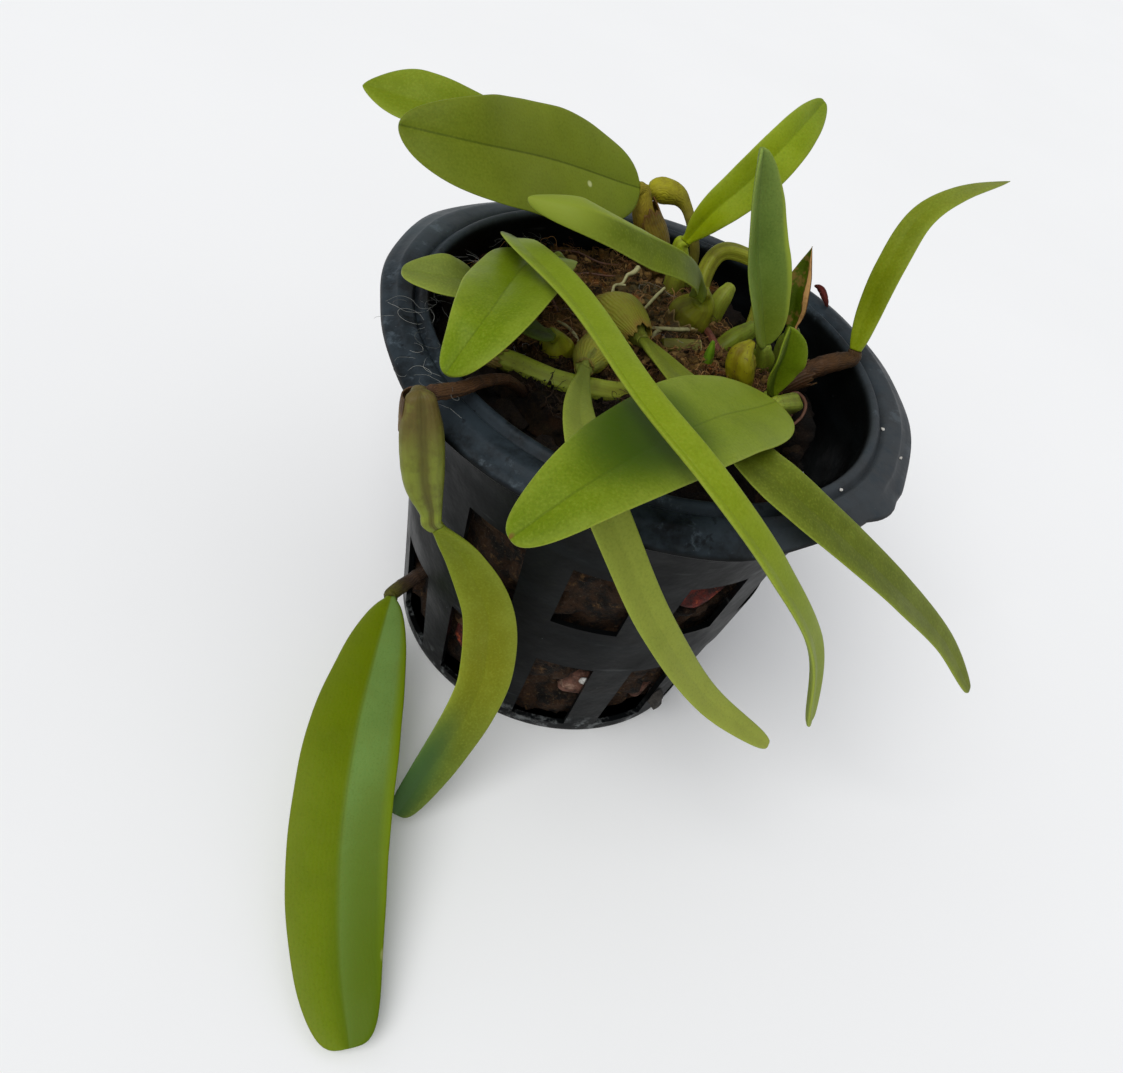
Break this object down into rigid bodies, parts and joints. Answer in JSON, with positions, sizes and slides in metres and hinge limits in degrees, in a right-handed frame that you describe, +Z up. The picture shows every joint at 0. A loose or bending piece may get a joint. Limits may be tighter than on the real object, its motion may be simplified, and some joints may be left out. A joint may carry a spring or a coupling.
{
  "type": "potted bulbophyllum",
  "caption": "Creeping orchid with leathery strap leaves and ridged pseudobulbs in a black net pot of bark and coir, with growths hanging over the rim.",
  "frame": {"origin": "middle of the pot's foot, on the surface the pot stands on", "axes": "+Z up along the pot's axis, -Y towards the front of the pot, where the growths hang over the rim"},
  "size_m": [0.211, 0.2367, 0.1687],
  "materials": {
    "pot_plastic": "satin",
    "bark": "matte",
    "coir": "matte",
    "brick_chip": "matte",
    "husk_chip": "matte",
    "leaf": "satin",
    "pseudobulb": "satin",
    "green_stem": "satin",
    "rhizome": "matte",
    "dried_bud": "matte"
  },
  "bodies": {
    "root": {"pot": "pot_plastic", "bark": "bark", "coir": "coir", "chip_brick_right": "brick_chip", "chip_brick_left": "brick_chip", "chip_pale": "husk_chip", "chip_pale_right": "husk_chip", "leaf_back_left": "leaf", "leaf_back_large": "leaf", "leaf_arched": "leaf", "leaf_right_back": "leaf", "leaf_upright": "leaf", "leaf_brown_edge": "leaf", "leaf_far_right": "leaf", "leaf_boat": "leaf", "leaf_rim_left": "leaf", "leaf_left_broad": "leaf", "leaf_long_strap": "leaf", "leaf_front_broad": "leaf", "leaf_front_hanging": "leaf", "leaf_right_hanging": "leaf", "leaf_outside_bent": "leaf", "leaf_outside_large": "leaf", "leaf_small_dark": "leaf", "bulb_back_left": "rhizome", "bulb_back_large": "rhizome", "bulb_arched": "pseudobulb", "bulb_right_back": "pseudobulb", "bulb_upright": "pseudobulb", "bulb_brown_edge": "pseudobulb", "bulb_far_right": "rhizome", "bulb_boat": "pseudobulb", "bulb_rim_left": "pseudobulb", "bulb_left_broad": "pseudobulb", "bulb_long_strap": "pseudobulb", "bulb_front_broad": "pseudobulb", "bulb_front_hanging": "pseudobulb", "bulb_right_hanging": "pseudobulb", "bulb_outside_bent": "pseudobulb", "bulb_outside_large": "rhizome", "bulb_small_dark": "pseudobulb", "stem_pale_arch": "green_stem", "stub_pale": "green_stem", "bulb_yellow_sheath": "pseudobulb", "bulb_long_green": "green_stem", "bulb_behind_upright": "pseudobulb", "shoot_young": "green_stem", "stub_cut": "green_stem", "stem_over_rim": "rhizome", "bud_dried": "dried_bud"}
  },
  "joints": []
}
